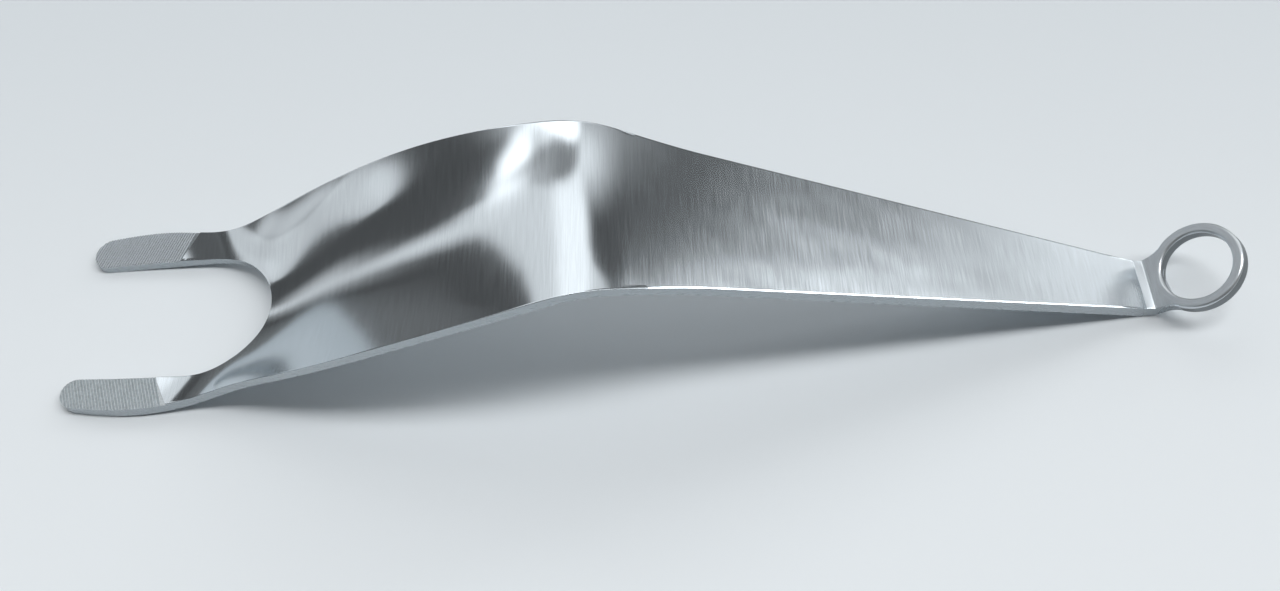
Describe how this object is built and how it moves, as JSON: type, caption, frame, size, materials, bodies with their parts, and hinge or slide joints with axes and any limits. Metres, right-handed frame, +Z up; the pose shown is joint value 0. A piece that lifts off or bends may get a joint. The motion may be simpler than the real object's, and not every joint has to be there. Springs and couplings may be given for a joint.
{
  "type": "femoral elevator",
  "caption": "Forked double-bent steel retractor blade with grooved prong pads, a troughed fork, a tapered handle and a tilted end ring.",
  "frame": {"origin": "middle of the footprint, on the surface that the part lies on", "axes": "+X from the prong tips to the end ring, +Y across the blade, +Z up from the surface it lies on"},
  "size_m": [0.315, 0.0586, 0.0523],
  "materials": {
    "blade_steel": "satin, brushed across the blade",
    "ring_steel": "satin, brushed round the ring",
    "weld_steel": "weld ground and polished smooth"
  },
  "bodies": {
    "root": {"blade": "blade_steel", "end_ring": "ring_steel", "ring_weld": "weld_steel"}
  },
  "joints": []
}
